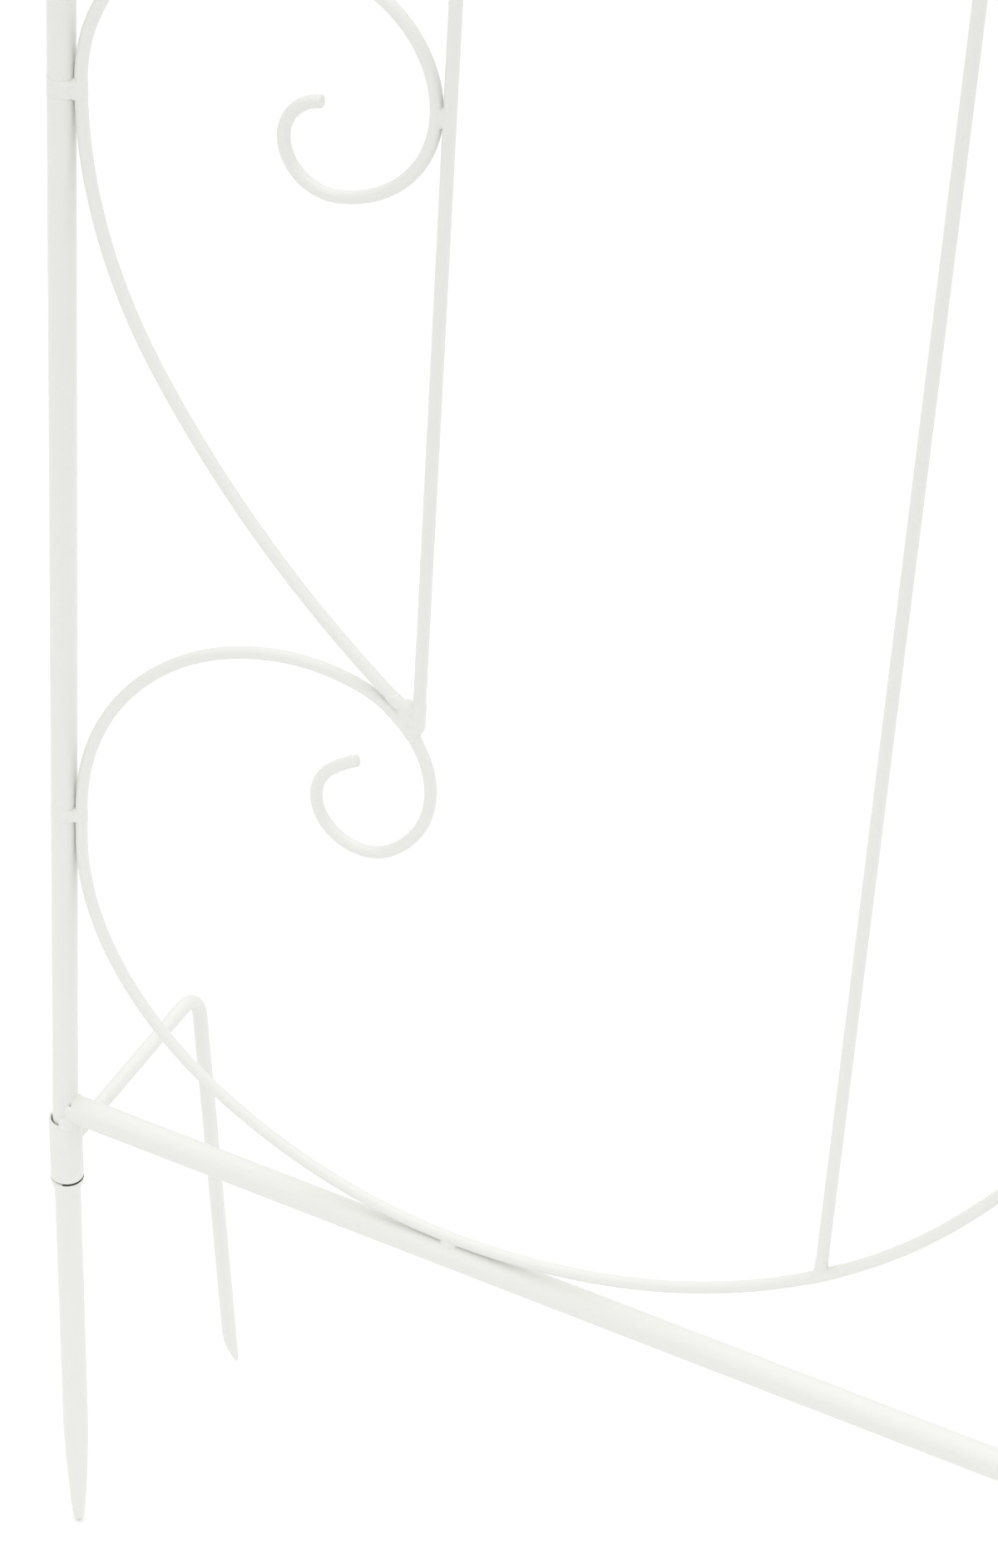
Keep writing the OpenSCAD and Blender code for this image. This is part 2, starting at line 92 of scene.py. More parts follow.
def lightTheStudio():
    world = bpy.data.worlds.new("studio")
    world.use_nodes = True
    tree = world.node_tree
    tree.nodes.clear()
    where = addNode(tree, "ShaderNodeTexCoord")
    split = addNode(tree, "ShaderNodeSeparateXYZ", inputs={"Vector": where.outputs["Generated"]})
    ramp = addNode(tree, "ShaderNodeMapRange", {"interpolation_type": "SMOOTHSTEP"},
                   {"Value": split.outputs["Z"], "From Min": 0.0, "From Max": 1.0,
                    "To Min": studio["level"], "To Max": studio["above"]})
    back = addNode(tree, "ShaderNodeBackground", inputs={"Strength": ramp.outputs["Result"]})
    addNode(tree, "ShaderNodeOutputWorld", inputs={"Surface": back.outputs["Background"]})
    back.inputs["Color"].default_value = (1, 1, 1, 1)
    bpy.context.scene.world = world


lightTheStudio()


# Matt white paper sweep with no pattern and no gloss, coloured with a painted pool of light round
# the arch that darkens to painted shade further out
def paperFloorPaintedPool():
    material = bpy.data.materials.new("mattePaperPaintedPool")
    material.use_nodes = True
    tree = material.node_tree
    shader = tree.nodes["Principled BSDF"]
    place = addNode(tree, "ShaderNodeTexCoord")
    away = addNode(tree, "ShaderNodeVectorMath", {"operation": "LENGTH"},
                   {0: place.outputs["Object"]})
    # Painted light: the paper's colour darkens with distance from the arch
    paintedFalloff = addNode(tree, "ShaderNodeMapRange", {"interpolation_type": "SMOOTHSTEP"},
                  {"Value": away.outputs["Value"], "From Min": studio["paintedPoolRadius"][0],
                   "From Max": studio["paintedPoolRadius"][1]})
    paper = addNode(tree, "ShaderNodeMix", {"data_type": "RGBA"},
                    {0: paintedFalloff.outputs["Result"], 6: linearColour(studio["floorColour"]),
                     7: linearColour(studio["floorPaintedShade"])})
    tree.links.new(paper.outputs[2], shader.inputs["Base Color"])
    shader.inputs["Roughness"].default_value = 1
    shader.inputs["Specular IOR Level"].default_value = 0
    return material


floorMesh = bpy.data.meshes.new("floor")
floorBm = bmesh.new()
bmesh.ops.create_circle(floorBm, cap_ends=True, segments=96, radius=studio["floorRadius"])
floorBm.to_mesh(floorMesh)
floorBm.free()
floor = bpy.data.objects.new("floor", floorMesh)
floorMesh.materials.append(paperFloorPaintedPool())
bpy.context.collection.objects.link(floor)
print("camera, floor and light set")


# Finishes

# Polyester powder coat on mild steel, sprayed and baked: satin, with a fine orange peel that only
# the highlights show, and slightly rounded over every edge
def whitePowderCoat():
    material = bpy.data.materials.new("whitePowderCoat")
    material.use_nodes = True
    tree = material.node_tree
    shader = tree.nodes["Principled BSDF"]
    shader.inputs["Base Color"].default_value = linearColour("e5e6e1")
    shader.inputs["Roughness"].default_value = 0.38
    shader.inputs["IOR"].default_value = 1.5
    place = addNode(tree, "ShaderNodeTexCoord")
    peel = addNode(tree, "ShaderNodeTexNoise", {"noise_dimensions": "3D"},
                   {"Vector": place.outputs["Object"], "Scale": 1 / (1.6 * mm), "Detail": 1.5,
                    "Roughness": 0.45})
    bump = addNode(tree, "ShaderNodeBump", inputs={"Height": peel.outputs["Fac"],
                                                   "Strength": 0.12, "Distance": 0.12 * mm})
    tree.links.new(bump.outputs["Normal"], shader.inputs["Normal"])
    return material


# Dark grey and dull with a faint mottle: painted shade, laid on the spike's plug, neck and collar
# shoulder to darken the gap under the sleeve
def gapShadeSteel():
    material = bpy.data.materials.new("gapShadeSteel")
    material.use_nodes = True
    tree = material.node_tree
    shader = tree.nodes["Principled BSDF"]
    shader.inputs["Roughness"].default_value = 0.6
    place = addNode(tree, "ShaderNodeTexCoord")
    scale = addNode(tree, "ShaderNodeTexNoise", {"noise_dimensions": "3D"},
                    {"Vector": place.outputs["Object"], "Scale": 1 / (3 * mm), "Detail": 4})
    mottle = addNode(tree, "ShaderNodeMix", {"data_type": "RGBA"},
                     {0: scale.outputs["Fac"], 6: linearColour("2f2f31"),
                      7: linearColour("4a4948")})
    tree.links.new(mottle.outputs[2], shader.inputs["Base Color"])
    return material


# Bright zinc plating on steel: smooth, bluish and a little cloudy
def brightZinc():
    material = bpy.data.materials.new("brightZinc")
    material.use_nodes = True
    tree = material.node_tree
    shader = tree.nodes["Principled BSDF"]
    shader.inputs["Base Color"].default_value = linearColour("c9cbcf")
    shader.inputs["Metallic"].default_value = 1
    place = addNode(tree, "ShaderNodeTexCoord")
    cloud = addNode(tree, "ShaderNodeTexNoise", {"noise_dimensions": "3D"},
                    {"Vector": place.outputs["Object"], "Scale": 1 / (4 * mm), "Detail": 3})
    gloss = addNode(tree, "ShaderNodeMapRange", inputs={"Value": cloud.outputs["Fac"],
                                                        "To Min": 0.22, "To Max": 0.4})
    tree.links.new(gloss.outputs["Result"], shader.inputs["Roughness"])
    return material


coat = whitePowderCoat()
zinc = brightZinc()
# steel is painted shade: the dark colour laid in the gap under each sleeve
steel = gapShadeSteel()
print("finishes made")

# The arch's sizes, in millimetres

# A panel's own frame: X from one post to the other, Y out of the walkway, Z up from the bottom bar
arch = {
    "width": 1200,  # between the panels, tube centre to tube centre
    "panelDepth": 600,
    "panelHeight": 1540,  # bottom bar to top bar
    "groundHeight": 301.5,  # bottom bar above the spikes' tips
    "postRise": 40,  # posts above the top bar
    "weldGap": 0.2,  # left between tubes for the weld
}
post = {"diameter": 13, "wall": 1.2, "plug": 13.7}  # plug: how far it goes into its sleeve
bar = {"diameter": 14.8, "start": 6}  # start: distance of its ends from the posts' centres
wire = {"diameter": 6, "sides": 24, "cutEdge": 0.7}  # cutEdge: rounding of its cut ends
postRadius = post["diameter"] / 2
barRadius = bar["diameter"] / 2
wireRadius = wire["diameter"] / 2
depth = arch["panelDepth"]
height = arch["panelHeight"]
touchX = postRadius + wireRadius + arch["weldGap"]  # a wire's centre where it meets the post
touchZ = barRadius + wireRadius + arch["weldGap"]  # and where it meets the bar
pitch = wire["diameter"] + arch["weldGap"]  # between the centres of two wires that meet
halfGap = arch["weldGap"] / 2

rightPanel = (Matrix.Scale(mm, 4)
              @ Matrix.Translation((arch["width"] / 2, depth / 2, arch["groundHeight"]))
              @ Matrix.Rotation(math.radians(-90), 4, "Z"))
halfTurn = Matrix.Rotation(math.pi, 4, "Z")
sides = {"right": Matrix.Identity(4), "left": halfTurn}
upperHalf = (Matrix.Translation((depth / 2, 0, height / 2)) @ Matrix.Rotation(math.pi, 4, "Y")
             @ Matrix.Translation((-depth / 2, 0, -height / 2)))
farEnd = Matrix.Translation((depth, 0, 0)) @ Matrix.Scale(-1, 4, (1, 0, 0))
here = Matrix.Identity(4)
# The end of a panel that its lower curl is at, and the other end
ends = {"right": ("rear", "front"), "left": ("front", "rear")}


# Bending and turning

# A run is a list of [radius, degrees] arcs that all turn left, each going on from the last. These
# give how far it turns, and how far it gets along its first heading and across it.
def turned(run):
    return sum(degrees for radius, degrees in run)


def alongRun(run):
    total, at = 0, 0
    for radius, degrees in run:
        total += radius * (math.sin(math.radians(at + degrees)) - math.sin(math.radians(at)))
        at += degrees
    return total


def acrossRun(run):
    total, at = 0, 0
    for radius, degrees in run:
        total += radius * (math.cos(math.radians(at)) - math.cos(math.radians(at + degrees)))
        at += degrees
    return total


# Where a run that starts at a point comes out, and its heading there
def followRun(point, heading, axis, run):
    for radius, degrees in run:
        if degrees is None:
            point = point + heading * radius
            continue
        centre = point + axis.cross(heading) * radius
        turn = Matrix.Rotation(math.radians(degrees), 3, axis)
        point = centre + turn @ (point - centre)
        heading = turn @ heading
    return point, heading


# A matrix at a point with its Z along the heading
def squareTo(point, heading):
    return Matrix.Translation(point) @ heading.to_track_quat("Z", "Y").to_matrix().to_4x4()


# Clears the end face that the next stretch grew from, which would be left inside the bar
def dropInside(bm, faces):
    left = [f for f in faces if f.is_valid]
    if left:
        bmesh.ops.delete(bm, geom=left, context="FACES")


# Round bar, or tube where it has a wall, drawn through arcs and straights ([length, None]). An
# arc's steps stray from it by no more than finest, and turn no more than widest degrees.
def bentBar(bm, point, heading, axis, run, diameter, wall=0, segments=24, finest=0.02, widest=6):
    made = bmesh.ops.create_circle(bm, cap_ends=True, segments=segments, radius=diameter / 2,
                                   matrix=squareTo(point, heading))
    faces = list({f for v in made["verts"] for f in v.link_faces})
    if wall:
        ring = bmesh.ops.inset_region(bm, faces=faces, thickness=wall, use_boundary=True,
                                      use_even_offset=True)
        bmesh.ops.delete(bm, geom=faces, context="FACES_ONLY")
        faces = ring["faces"]
    for number, (radius, degrees) in enumerate(run):
        behind = faces if number else []
        if degrees is None:
            grown = bmesh.ops.extrude_face_region(bm, geom=faces)["geom"]
            verts = [g for g in grown if isinstance(g, bmesh.types.BMVert)]
            bmesh.ops.translate(bm, verts=verts, vec=heading * radius)
        else:
            tip = list({v for f in faces for v in f.verts} | {e for f in faces for e in f.edges})
            centre = point + axis.cross(heading) * radius
            stepAngle = 2 * math.degrees(math.acos(1 - finest / radius))
            steps = max(2, math.ceil(degrees / min(stepAngle, widest)))
            grown = bmesh.ops.spin(bm, geom=tip + faces, cent=centre, axis=axis,
                                   angle=math.radians(degrees), steps=steps)["geom_last"]
        faces = [g for g in grown if isinstance(g, bmesh.types.BMFace)]
        point, heading = followRun(point, heading, axis, [(radius, degrees)])
        dropInside(bm, behind)


# A shape turned on a lathe about Z from its outline of (radius, height) points; a closed outline
# makes a ring
def latheTurned(bm, outline, segments=48, closed=False):
    verts = [bm.verts.new((r, 0, z)) for r, z in outline]
    joins = list(zip(verts, verts[1:]))
    if closed:
        joins.append((verts[-1], verts[0]))
    edges = [bm.edges.new(pair) for pair in joins]
    bmesh.ops.spin(bm, geom=verts + edges, cent=(0, 0, 0), axis=(0, 0, 1), angle=2 * math.pi,
                   steps=segments, use_merge=True)
    bmesh.ops.remove_doubles(bm, verts=bm.verts[:], dist=0.0005)


# Rounds the rims of flat ends, as the coat does
def roundEnds(bm, faces, size):
    edges = [e for e in {e for f in faces for e in f.edges}
             if len(e.link_faces) == 2 and e.calc_face_angle(0) > math.radians(60)]
    bmesh.ops.bevel(bm, geom=edges, offset=size, affect="EDGES", segments=3, profile=0.5,
                    material=-1)


# Cuts off what lies on the outer side of a plane and closes the cut, only below a height where
# one is given
def planeOff(bm, point, normal, below=math.inf):
    verts = {v for v in bm.verts if v.co.z <= below}
    edges = [e for e in bm.edges if verts.issuperset(e.verts)]
    faces = [f for f in bm.faces if verts.issuperset(f.verts)]
    cut = bmesh.ops.bisect_plane(bm, geom=list(verts) + edges + faces, dist=0.0001,
                                 plane_co=point, plane_no=normal, clear_outer=True)
    edges = [g for g in cut["geom_cut"] if isinstance(g, bmesh.types.BMEdge)]
    bmesh.ops.edgenet_fill(bm, edges=edges)


def meshOf(bm, name, place=here):
    bmesh.ops.transform(bm, matrix=place, verts=bm.verts[:])
    bmesh.ops.recalc_face_normals(bm, faces=bm.faces[:])
    mesh = bpy.data.meshes.new(name)
    bm.to_mesh(mesh)
    bm.free()
    mesh.shade_smooth()
    mesh.set_sharp_from_angle(angle=sharpAngle)
    return mesh


# Hangs a finished mesh on its body in place of the CAD nodes it stands for
def fitPiece(mesh, name, nodes, body="arch", finish=coat):
    piece = bpy.data.objects.new(name, mesh)
    bpy.context.collection.objects.link(piece)
    mesh.materials.append(finish)
    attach(piece, body)
    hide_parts(*nodes)
    return piece


up = Vector((0, 0, 1))
out = Vector((0, 1, 0))
sideways = Vector((1, 0, 0))

# The scrolls' lines

# Lower scroll below its post weld: round to the bottom bar, then up to the far post
scrollFlat = 17  # straight stretch beside the post
scrollFall = [[147, 29.3], [169, 26.5], [246, 34.2]]
scrollSweep = [[313, 27], [325, 25.6]]
scrollZ = touchZ + alongRun(scrollFall) + scrollFlat / 2
barWeldX = touchX + acrossRun(scrollFall)
sweepEnd = 90 - turned(scrollSweep)
scrollSweep.append([(depth - touchX - barWeldX - alongRun(scrollSweep))
                    / (1 - math.cos(math.radians(sweepEnd))), sweepEnd])
farWeldZ = touchZ + acrossRun(scrollSweep)

# Lower scroll above its post weld: over the top and into the curl
curl = {"rodInset": 187.5, "inset": 43.5, "radius": 51.5, "innerRadius": 24.2}
curlX = curl["rodInset"] - curl["inset"]
crest = [[124, 29.4], [97, 23.2]]
crestTurn = 50.2
crestSpan = acrossRun([[0, crestTurn]] + crest)
crestRadius = ((curlX - touchX - crestSpan
                - curl["radius"] * math.cos(math.radians(crestTurn + turned(crest))))
               / (1 - math.cos(math.radians(crestTurn))))
crest.insert(0, [crestRadius, crestTurn])
curlRun = [[curl["radius"], 129.7], [curl["innerRadius"], 172.5], [70, 14]]
curlZ = (scrollZ + scrollFlat / 2 + alongRun(crest)
         - curl["radius"] * math.sin(math.radians(turned(crest))))
rodFoot = curlZ + math.sqrt((curl["radius"] + pitch) ** 2 - curl["inset"] ** 2)

# Half heart: tail beside the rod on the curl, lobe up to the rod and into its own curl
tailAt = math.radians(54)
tailX = curlX + (curl["radius"] + pitch) * math.cos(tailAt)
tailZ = curlZ + (curl["radius"] + pitch) * math.sin(tailAt)
tailTurn = 31.7
tailFlat = [511, 21.6]
tailRadius = ((tailX - touchX - tailFlat[0] * (math.cos(math.radians(tailTurn))
                                               - math.cos(math.radians(tailTurn + tailFlat[1]))))
              / (1 - math.cos(math.radians(tailTurn))))
heartTail = [[tailRadius, tailTurn], tailFlat]
heartZ = tailZ + alongRun(heartTail)
lobe = {"start": [93, 21.6], "turn": 94.6, "end": [55.4, 143], "curl": [22.6, 179]}
lobeLeft = 180 - lobe["start"][1] - lobe["turn"]
lobeRadius = ((curl["rodInset"] - pitch - touchX
               - lobe["start"][0] * (1 - math.cos(math.radians(lobe["start"][1])))
               - lobe["end"][0] * (1 - math.cos(math.radians(lobeLeft))))
              / (math.cos(math.radians(lobe["start"][1])) + math.cos(math.radians(lobeLeft))))
lobeRun = [lobe["start"], [lobeRadius, lobe["turn"]], lobe["end"], lobe["curl"]]
heartRodZ = heartZ + alongRun([lobe["start"], [lobeRadius, lobe["turn"]],
                               [lobe["end"][0], lobeLeft]])


# Height of the sweep's centre line over a point between the bar weld and the far post
def sweepHeight(x):
    atX, atZ, heading = barWeldX, touchZ, 0
    for radius, degrees in scrollSweep:
        sine = math.sin(math.radians(heading)) + (x - atX) / radius
        leaving = math.sin(math.radians(heading + degrees))
        if sine <= leaving:
            break
        atX += radius * (leaving - math.sin(math.radians(heading)))
        atZ += radius * (math.cos(math.radians(heading))
                         - math.cos(math.radians(heading + degrees)))
        heading += degrees
    return atZ + radius * (math.cos(math.radians(heading)) - math.cos(math.asin(sine)))


farRodX = depth - curl["rodInset"]
farRodZ = sweepHeight(farRodX)
farRodSlope = math.atan(sweepHeight(farRodX + 1) - farRodZ)
print("scroll lines worked out")


# Wire and tube of a panel, each in the panel's frame

# One wire through two runs that leave a weld point, the first upwards and the second downwards
def wireThrough(bm, point, upRun, downRun, flat=0):
    tip, heading = followRun(point + up * flat / 2, up, out, upRun)
    middle = [[flat, None]] if flat else []
    bentBar(bm, tip, -heading, -out, upRun[::-1] + middle + downRun, wire["diameter"],
            segments=wire["sides"])
    cutEnds = [f for f in bm.faces if len(f.verts) > 4]
    roundEnds(bm, cutEnds, wire["cutEdge"])


def scrollWire(bm):
    wireThrough(bm, Vector((touchX, 0, scrollZ)), crest + curlRun, scrollFall + scrollSweep,
                scrollFlat)


def heartWire(bm):
    wireThrough(bm, Vector((touchX, 0, heartZ)), lobeRun, heartTail)


# Round bottom end on the curl, top end let into the upper sweep
def uprightRod(bm):
    top = height - farRodZ
    arc = [math.radians(a) for a in range(0, 91, 15)]
    dome = [(wireRadius * math.sin(a), rodFoot - wireRadius * math.cos(a)) for a in arc]
    latheTurned(bm, dome + [(wireRadius, top), (0, top)], segments=wire["sides"])
    bmesh.ops.translate(bm, verts=bm.verts[:], vec=(curl["rodInset"], 0, 0))


# The outline of a tube with slightly rounded rims
def tubeOutline(outer, bore, low, high, edge=0.25):
    return [(bore, low + edge), (bore + edge, low), (outer - edge, low), (outer, low + edge),
            (outer, high - edge), (outer - edge, high), (bore + edge, high), (bore, high - edge)]


sleeve = {
    "wall": 1.2,
    "length": 39.2,
    "play": 0.8,  # around the post
    "drop": 0.9,  # below the bar
    "lean": 1.5,  # degrees, with the spike in it
}
sleeveTop = -barRadius - sleeve["drop"]
sleeveBore = postRadius + sleeve["play"]
sleeveRadius = sleeveBore + sleeve["wall"]
sleeveFoot = sleeveTop - sleeve["length"]
sleeveMiddle = (sleeveTop + sleeveFoot) / 2
leaned = (Matrix.Translation((0, 0, sleeveTop))
          @ Matrix.Rotation(math.radians(-sleeve["lean"]), 4, "Y")
          @ Matrix.Translation((0, 0, -sleeveTop)))


def postTube(bm):
    low, high = sleeveTop - post["plug"], height + arch["postRise"]
    latheTurned(bm, tubeOutline(postRadius, postRadius - post["wall"], low, high), closed=True)


def straightBar(bm, segments=64):
    bentBar(bm, Vector((bar["start"], 0, 0)), sideways, out,
            [[depth - 2 * bar["start"], None]], bar["diameter"], segments=segments)


def footSleeve(bm):
    latheTurned(bm, tubeOutline(sleeveRadius, sleeveBore, sleeveFoot, sleeveTop), segments=64,
                closed=True)
    bmesh.ops.transform(bm, matrix=leaned, verts=bm.verts[:])


# Plug that slides into the sleeve, flared collar, shaft and a long tapered point
spike = {
    "plugRadius": 7.25,
    "bore": 4.6,
    "neckRadius": 5.8,  # under the sleeve's rim
    "plugGap": 0.6,  # below the post's foot
    "collarGap": 0.4,  # below the sleeve
    "groove": 0.4,  # the collar's shoulder, below that, coloured dark as painted shade
    "collarRadius": 8.8,
    "collarHeight": 9,
    "shadeLine": 0.65,  # where the painted shade ends, below the collar's top
    "radius": 6.7,
    "taperLength": 80,
    "tipRadius": 2.8,
    "taper": [(6.7, 80), (6.62, 70), (6.4, 62), (6.0, 51), (5.45, 39), (4.85, 27.3), (4.1, 15.4),
              (3.35, 6.5), (2.75, 3.1), (2.1, 1.2), (1.2, 0.3)],  # (radius, height above the tip)
}


def groundSpike(bm):
    drop = arch["groundHeight"] + sleeveTop - spike["tipRadius"]
    tip = sleeveTop - drop / math.cos(math.radians(sleeve["lean"])) - spike["tipRadius"]
    taperTop = tip + spike["taperLength"]
    plugTop = sleeveTop - post["plug"] - spike["plugGap"]
    collarTop = sleeveFoot - spike["collarGap"]
    bore, plug, neck = spike["bore"], spike["plugRadius"], spike["neckRadius"]
    collar, shaft = spike["collarRadius"], spike["radius"]
    outline = [(0, taperTop), (bore, taperTop), (bore, plugTop), (plug - 0.3, plugTop),
               (plug, plugTop - 0.3), (plug, collarTop + 3.2), (neck, collarTop + 2),
               (neck, collarTop - spike["groove"]), (collar - 1.1, collarTop - spike["groove"]),
               (collar - 0.3, collarTop - 0.7), (collar, collarTop - 1.3),
               (collar - 0.1, collarTop - 2.2), (shaft + 0.95, collarTop - 5.5),
               (shaft + 0.35, collarTop - 7.6), (shaft, collarTop - spike["collarHeight"] - 0.6)]
    outline += [(r, tip + h) for r, h in spike["taper"]] + [(0, tip)]
    latheTurned(bm, outline, segments=64)
    bmesh.ops.transform(bm, matrix=leaned, verts=bm.verts[:])


# Bent rod out from the sleeve and down to a point ground from three sides
outrigger = {
    "diameter": 8,
    "reach": 139,  # from the post's centre
    "bend": 17,  # radius
    "lean": 5.6,  # degrees
    "rise": 10,  # its point above the spikes' tips
    "chisel": 26,  # length of the ground faces
    "edge": 1.6,  # thickness left at the point
    "letIn": 0.4,  # start inside the sleeve's wall
}


def outriggerRod(bm):
    r, bend = outrigger["diameter"] / 2, outrigger["bend"]
    leg = ((arch["groundHeight"] - outrigger["rise"] + sleeveMiddle)
           / math.cos(math.radians(outrigger["lean"])) - bend)
    begin = sleeveRadius - outrigger["letIn"]
    bentBar(bm, Vector((0, begin, 0)), out, -sideways,
            [[outrigger["reach"] - bend - begin, None], [bend, 90], [leg, None]],
            outrigger["diameter"], segments=32)
    foot = Vector((0, outrigger["reach"], -bend - leg))
    long, slope = outrigger["chisel"], 2 * r - outrigger["edge"]
    legTop = 0.1 - bend  # just above the leg's last ring
    planeOff(bm, foot + Vector((-r, 0, long)), Vector((-long, 0, -slope)), legTop)
    for side in (-1, 1):
        planeOff(bm, foot + Vector((0, side * r, long / 2)),
                 Vector((0, side * long / 2, -slope / 2)), legTop)
    lean = (Matrix.Translation((0, 0, sleeveMiddle))
            @ Matrix.Rotation(math.radians(-outrigger["lean"]), 4, "Y"))
    bmesh.ops.transform(bm, matrix=lean, verts=bm.verts[:])


def shaped(build, *args):
    bm = bmesh.new()
    build(bm, *args)
    return bm


def panelPiece(build, name, place, side, body="arch"):
    mesh = meshOf(shaped(build), name, sides[side] @ rightPanel @ place)
    return fitPiece(mesh, name + "_piece", [name], body)


# Colours the spike's plug, neck and collar shoulder dark grey as painted shade, so that the gap
# under the sleeve looks dark
def paintShadeAbove(piece, level):
    piece.data.materials.append(steel)
    for face in piece.data.polygons:
        if all(piece.data.vertices[v].co.z > level * mm for v in face.vertices):
            face.material_index = 1


topBar = Matrix.Translation((0, 0, height))
for side, (near, far) in ends.items():
    for end, place in ((near, here), (far, farEnd)):
        panelPiece(postTube, f"{side}_{end}_post", place, side)
        panelPiece(footSleeve, f"{side}_{end}_sleeve", place, side)
        panelPiece(outriggerRod, f"{side}_{end}_outrigger", place, side)
        spikeName = f"{side}_{end}_spike"
        spikePiece = panelPiece(groundSpike, spikeName, place, side, spikeName)
        paintShadeAbove(spikePiece, arch["groundHeight"] + sleeveFoot - spike["collarGap"]
                  - spike["shadeLine"])
    for half, place in (("lower", here), ("upper", upperHalf)):
        panelPiece(scrollWire, f"{side}_{half}_scroll", place, side)
        panelPiece(heartWire, f"{side}_{half}_heart", place, side)
    panelPiece(uprightRod, f"{side}_{near}_rod", here, side)
    panelPiece(uprightRod, f"{side}_{far}_rod", upperHalf, side)
    panelPiece(straightBar, f"{side}_bottom_bar", here, side)
    panelPiece(straightBar, f"{side}_top_bar", topBar, side)
print("panels bent and placed")

# The roof

roof = {
    "foot": 60,  # straight stretch above the posts
    "crownFlat": 50,
    "crownGap": 0.5,  # between the halves
    "crossbars": 4,  # on each half
    "firstCrossbar": 0.6,  # its place, as a part of their spacing
    "crossbarDiameter": 8,
    "rodLap": 10,  # below the top bar
}
roofRadius = arch["width"] / 2 - roof["crownFlat"]
springZ = arch["groundHeight"] + height + arch["postRise"] + roof["foot"]
rodOff = barRadius + wireRadius + arch["weldGap"]
crossbarOff = rodOff - wireRadius - arch["weldGap"] - roof["crossbarDiameter"] / 2
rodY = depth / 2 - curl["rodInset"]


# Half a roof line from a panel's top over to the crown, a distance outside the tubes' centre line
def roofLine(bm, y, off, foot, stop, diameter, wall=0):
    bentBar(bm, Vector((arch["width"] / 2 + off, y, springZ - foot)), up, -out,
            [[foot, None], [roofRadius + off, 90], [roof["crownFlat"] - stop, None]],
            diameter, wall, segments=32, finest=0.04)


# A matrix at a crossbar, X away from the roof's centre and Z along the roof line
def atCrossbar(number, off):
    degrees = -90 * (number + roof["firstCrossbar"]) / roof["crossbars"]
    turn = Matrix.Rotation(math.radians(degrees), 4, "Y")
    return (Matrix.Translation((arch["width"] / 2 - roofRadius, 0, springZ)) @ turn
            @ Matrix.Translation((roofRadius + off, 0, 0)))


def roofCrossbars(bm):
    reach = depth / 2 - postRadius + 1  # a millimetre into each tube
    for number in range(roof["crossbars"]):
        start = atCrossbar(number, crossbarOff) @ Vector((0, -reach, 0))
        bentBar(bm, start, out, up, [[2 * reach, None]], roof["crossbarDiameter"])


for side, turn in sides.items():
    place = turn @ Matrix.Scale(mm, 4)
    flip = 1 if side == "right" else -1
    for end, sign in (("front", -flip), ("rear", flip)):
        for kind, y, off, foot, diameter, wall in (
                ("tube", depth / 2, 0, roof["foot"], post["diameter"], post["wall"]),
                ("rod", rodY, rodOff, roof["foot"] + arch["postRise"] + roof["rodLap"],
                 wire["diameter"], 0)):
            name = f"{side}_roof_{end}_{kind}"
            bm = shaped(roofLine, y * sign, off, foot, roof["crownGap"] / 2, diameter, wall)
            fitPiece(meshOf(bm, name, place), name + "_piece", [name])
    name = f"{side}_roof_crossbars"
    fitPiece(meshOf(shaped(roofCrossbars), name, place), name + "_piece", [name])
print("roof bent and placed")


# Welds

# A weld is a bead run between short lengths of the pieces it joins. Fusing them, then smoothing,
# draws the surface in a hair under the tubes and leaves only the fillet standing out.
weld = {
    "grain": 0.4,  # voxel size
    "smoothing": 9,  # rounds
    "keep": 0.3,  # part of the faces kept
    "thick": 0.18,  # laid on over the seams at the posts
}


def beadOf(bm, centre, radii, turn=0, yaw=0):
    shape = (Matrix.Translation(centre) @ Matrix.Rotation(math.radians(yaw), 4, "Z")
             @ Matrix.Rotation(math.radians(turn), 4, "Y")
             @ Matrix.Diagonal((*radii, 1)))
    bmesh.ops.create_uvsphere(bm, u_segments=20, v_segments=14, radius=1, matrix=shape)


# Keeps what is inside a box turned about Y
def boxOff(bm, centre, half, turn=0):
    spin = Matrix.Rotation(math.radians(turn), 3, "Y")
    for axis in range(3):
        for sign in (-1, 1):
            normal = Vector((0, 0, 0))
            normal[axis] = sign
            normal = spin @ normal
            planeOff(bm, centre + normal * half[axis], normal)


